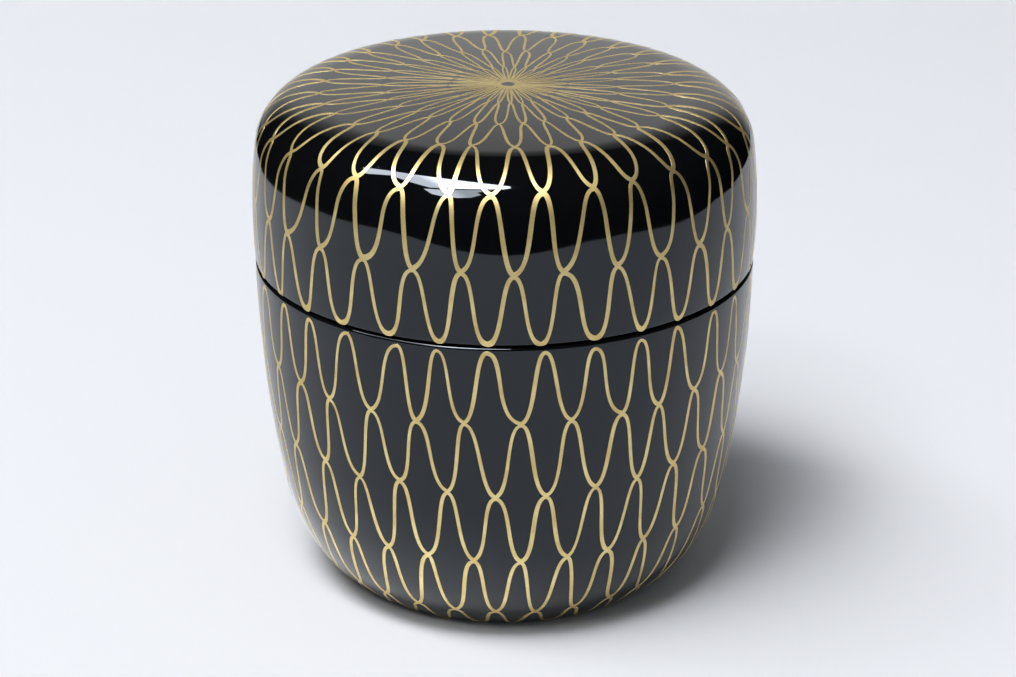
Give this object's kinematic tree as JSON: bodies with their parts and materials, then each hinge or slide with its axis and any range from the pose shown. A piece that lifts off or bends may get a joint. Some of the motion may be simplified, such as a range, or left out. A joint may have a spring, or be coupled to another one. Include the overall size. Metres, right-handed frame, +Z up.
{
  "type": "tea caddy",
  "caption": "Lacquered turned tea caddy: a rounded cup body with a standing collar and a deep, low-domed cap lid that lifts straight off.",
  "frame": {"origin": "centre of the foot, on the plane it stands on", "axes": "+Z up along the turning axis, towards the crown of the lid; the caddy is round, so X and Y are level and free"},
  "size_m": [0.066, 0.066, 0.0668],
  "materials": {
    "body_lacquer": "turned wood under polished black lacquer with a drawn gold net",
    "lid_lacquer": "turned wood under polished black lacquer with a drawn gold net",
    "gold_powder": "fine gold powder on drawn lacquer lines, satin"
  },
  "bodies": {
    "body": {"body": "body_lacquer"},
    "lid": {"lid": "lid_lacquer"}
  },
  "joints": [
    {"name": "lid_lift", "type": "slide", "parent": "body", "child": "lid", "axis": [0, 0, 1], "range_m": [0, 0.05]}
  ]
}
